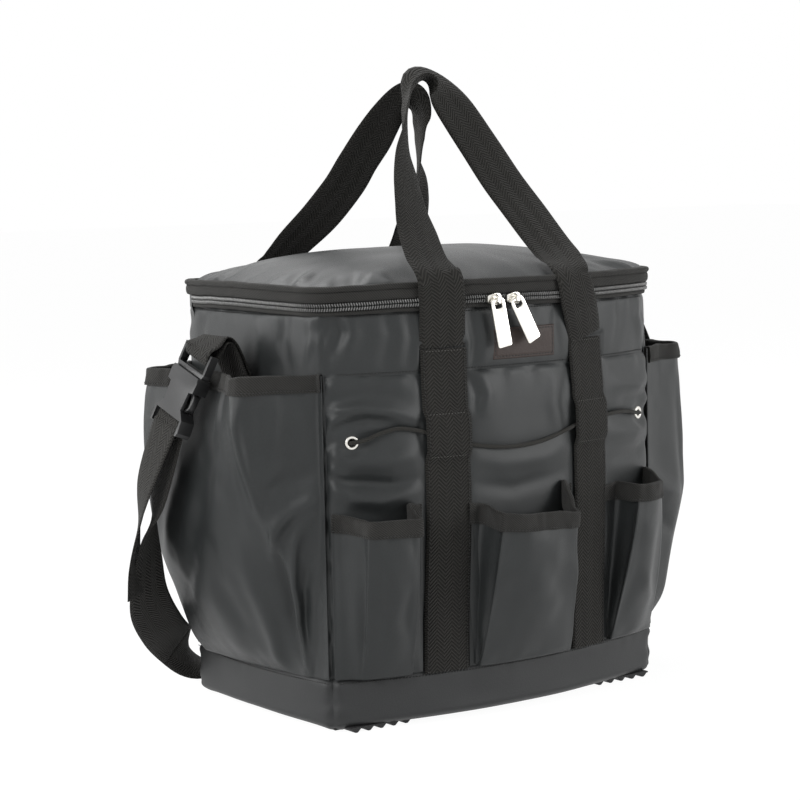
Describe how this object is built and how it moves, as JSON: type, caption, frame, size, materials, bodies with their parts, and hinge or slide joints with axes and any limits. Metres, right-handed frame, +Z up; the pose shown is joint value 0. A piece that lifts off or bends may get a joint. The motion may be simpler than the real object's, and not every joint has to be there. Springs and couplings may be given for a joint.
{
  "type": "grooming bag",
  "caption": "Soft box bag for horse grooming tools, with a zipped lid, outer pockets, webbing handles and a clip-on shoulder strap.",
  "frame": {"origin": "on the floor under the middle of the whole bag, where the feet stand", "axes": "+Z up, +X to the right of someone who faces the front with the name patch, +Y from the front to the back"},
  "size_m": [0.5327, 0.3225, 0.4915],
  "materials": {
    "canvas": "padded woven polyester, dark grey, slight sheen",
    "coated_band": "coated woven cloth, dark charcoal, matt",
    "twill_tape": "woven binding tape, near black, matt",
    "webbing": "herringbone webbing, near black, matt",
    "lining": "thin woven lining, mid grey",
    "elastic": "braided round elastic cord, near black",
    "board": "stiff board, hidden under the lining",
    "foot_rubber": "moulded rubber, dark, satin",
    "zip_coil": "nylon zip chain, black",
    "buckle_plastic": "moulded acetal, black, satin",
    "nickel": "nickel plate, bright, softly brushed",
    "leather": "dark brown leather patch, fine grain"
  },
  "bodies": {
    "bag": {"front_panel": "canvas", "front_yoke": "canvas", "back_panel": "canvas", "left_side_panel": "canvas", "right_side_panel": "canvas", "front_base_band": "coated_band", "back_base_band": "coated_band", "left_base_band": "coated_band", "right_base_band": "coated_band", "base_panel": "coated_band", "base_board": "board", "inner_lining": "lining", "front_left_foot": "foot_rubber", "front_right_foot": "foot_rubber", "back_left_foot": "foot_rubber", "back_right_foot": "foot_rubber", "lower_zip_tape": "twill_tape", "lower_zip_coil": "zip_coil", "lid_hinge_strip": "canvas", "front_left_sewn_strap": "webbing", "front_right_sewn_strap": "webbing", "back_left_sewn_strap": "webbing", "back_right_sewn_strap": "webbing", "left_eyelet": "nickel", "right_eyelet": "nickel", "elastic_cord": "elastic", "name_patch": "leather", "left_front_pocket": "canvas", "centre_front_pocket": "canvas", "right_front_pocket": "canvas", "left_pocket_trim": "twill_tape", "centre_pocket_trim": "twill_tape", "right_pocket_trim": "twill_tape", "left_side_pocket": "canvas", "right_side_pocket": "canvas", "left_side_pocket_trim": "twill_tape", "right_side_pocket_trim": "twill_tape", "buckle_male_half": "buckle_plastic", "buckle_tab": "webbing", "shoulder_strap_end": "webbing", "shoulder_strap": "webbing"},
    "lid": {"lid_top": "canvas", "lid_binding": "twill_tape", "lid_band": "twill_tape", "lid_lining": "lining", "upper_zip_tape": "twill_tape", "upper_zip_coil": "zip_coil"},
    "front_handle_base": {"front_left_free_strap": "webbing", "front_right_free_strap": "webbing"},
    "front_handle": {"front_handle_loop": "webbing"},
    "back_handle_base": {"back_left_free_strap": "webbing", "back_right_free_strap": "webbing"},
    "back_handle": {"back_handle_loop": "webbing"},
    "left_slider": {"left_slider": "nickel"},
    "left_pull": {"left_pull": "nickel"},
    "right_slider": {"right_slider": "nickel"},
    "right_pull": {"right_pull": "nickel"},
    "buckle_front_arm": {"buckle_front_arm": "buckle_plastic"},
    "buckle_back_arm": {"buckle_back_arm": "buckle_plastic"},
    "buckle_female": {"buckle_female_half": "buckle_plastic"}
  },
  "joints": [
    {"name": "lid_hinge", "type": "hinge", "parent": "bag", "child": "lid", "pos_m": [0, 0.1147, 0.3227], "axis": [-1, 0, 0], "range_deg": [0, 105], "deforming": ["front_handle_loop"]},
    {"name": "front_handle_lean", "type": "hinge", "parent": "bag", "child": "front_handle_base", "pos_m": [0, -0.13158, 0.288], "axis": [1, 0, 0], "range_deg": [0, 100]},
    {"name": "front_handle_swing", "type": "hinge", "parent": "front_handle_base", "child": "front_handle", "pos_m": [0, -0.14191, 0.3425], "axis": [1, 0, 0], "range_deg": [0, 110]},
    {"name": "back_handle_lean", "type": "hinge", "parent": "bag", "child": "back_handle_base", "pos_m": [0, 0.11146, 0.288], "axis": [-1, 0, 0], "range_deg": [0, 100]},
    {"name": "back_handle_swing", "type": "hinge", "parent": "back_handle_base", "child": "back_handle", "pos_m": [0, 0.12116, 0.3425], "axis": [-1, 0, 0], "range_deg": [0, 110]},
    {"name": "left_slider_slide", "type": "hinge", "parent": "bag", "child": "left_slider", "pos_m": [0, 0.26523, 0.3227], "axis": [0, 0, -1], "range_deg": [0, 2]},
    {"name": "right_slider_slide", "type": "hinge", "parent": "bag", "child": "right_slider", "pos_m": [0, 0.26523, 0.3227], "axis": [0, 0, 1], "range_deg": [0, 5.5]},
    {"name": "left_pull_swing", "type": "hinge", "parent": "left_slider", "child": "left_pull", "pos_m": [-0.03043, -0.14114, 0.3227], "axis": [-0.9972, 0.0747, 0], "range_deg": [0, 150]},
    {"name": "right_pull_swing", "type": "hinge", "parent": "right_slider", "child": "right_pull", "pos_m": [-0.01268, -0.14208, 0.3227], "axis": [-0.9995, 0.0311, 0], "range_deg": [0, 150]},
    {"name": "front_arm_squeeze", "type": "hinge", "parent": "bag", "child": "buckle_front_arm", "pos_m": [-0.21892, -0.01834, 0.26874], "axis": [0.9397, 0, -0.342], "range_deg": [0, 8], "stiffness_Nm_per_rad": 0.5},
    {"name": "back_arm_squeeze", "type": "hinge", "parent": "bag", "child": "buckle_back_arm", "pos_m": [-0.21653, 0.00774, 0.2753], "axis": [-0.9397, 0, 0.342], "range_deg": [0, 8], "stiffness_Nm_per_rad": 0.5},
    {"name": "buckle_release", "type": "slide", "parent": "bag", "child": "buckle_female", "axis": [-0.3304, 0.2588, -0.9077], "range_m": [0, 0.034], "deforming": ["buckle_front_arm", "buckle_back_arm", "shoulder_strap_end"]}
  ],
  "couplings": [
    {"joint": "front_handle_lean", "follows": "lid_hinge", "ratio": 0.95},
    {"joint": "back_handle_lean", "follows": "lid_hinge", "ratio": 0.95}
  ]
}
